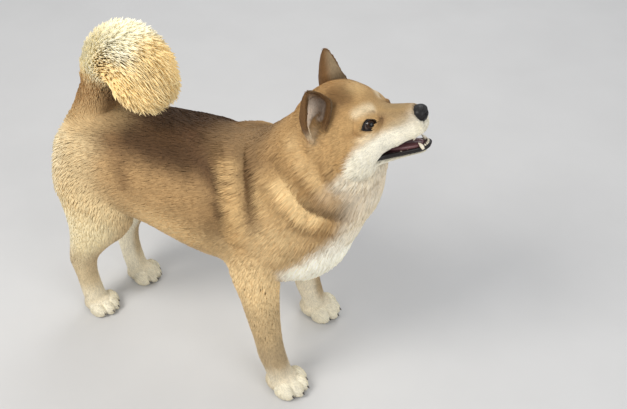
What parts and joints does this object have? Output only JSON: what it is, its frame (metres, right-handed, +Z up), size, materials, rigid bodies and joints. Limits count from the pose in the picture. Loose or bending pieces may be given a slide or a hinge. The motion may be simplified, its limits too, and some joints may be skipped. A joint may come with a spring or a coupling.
{
  "type": "shiba inu dog",
  "caption": "Life-size still model of a standing red shiba inu with pricked ears, its head turned a little to its left, mouth open and tail curled forward over its back.",
  "frame": {"origin": "on the floor, under the middle of the whole dog's bounding box", "axes": "+X forward, the way that the trunk faces; +Y to the dog's left; +Z up"},
  "size_m": [0.5946, 0.238, 0.5379],
  "materials": {
    "coat": "short dense fur, matt, red-tan above and cream below",
    "eye": "wet gloss, dark brown",
    "nose": "black, finely pebbled, moist",
    "tongue": "moist, dark pink",
    "claw": "smooth dark horn"
  },
  "bodies": {
    "root": {"head": "coat", "lower_jaw": "coat", "neck": "coat", "trunk": "coat", "tail_base": "coat", "tail_middle": "coat", "tail_tip": "coat", "ear_left": "coat", "ear_right": "coat", "foreleg_right": "coat", "foreleg_left": "coat", "hindleg_right": "coat", "hindleg_left": "coat", "forepaw_right": "coat", "forepaw_left": "coat", "hindpaw_right": "coat", "hindpaw_left": "coat", "eye_left": "eye", "eye_right": "eye", "nose": "nose", "tongue": "tongue", "claw_forepaw_right_1": "claw", "claw_forepaw_right_2": "claw", "claw_forepaw_right_3": "claw", "claw_forepaw_right_4": "claw", "claw_forepaw_left_1": "claw", "claw_forepaw_left_2": "claw", "claw_forepaw_left_3": "claw", "claw_forepaw_left_4": "claw", "claw_hindpaw_right_1": "claw", "claw_hindpaw_right_2": "claw", "claw_hindpaw_right_3": "claw", "claw_hindpaw_right_4": "claw", "claw_hindpaw_left_1": "claw", "claw_hindpaw_left_2": "claw", "claw_hindpaw_left_3": "claw", "claw_hindpaw_left_4": "claw"}
  },
  "joints": []
}
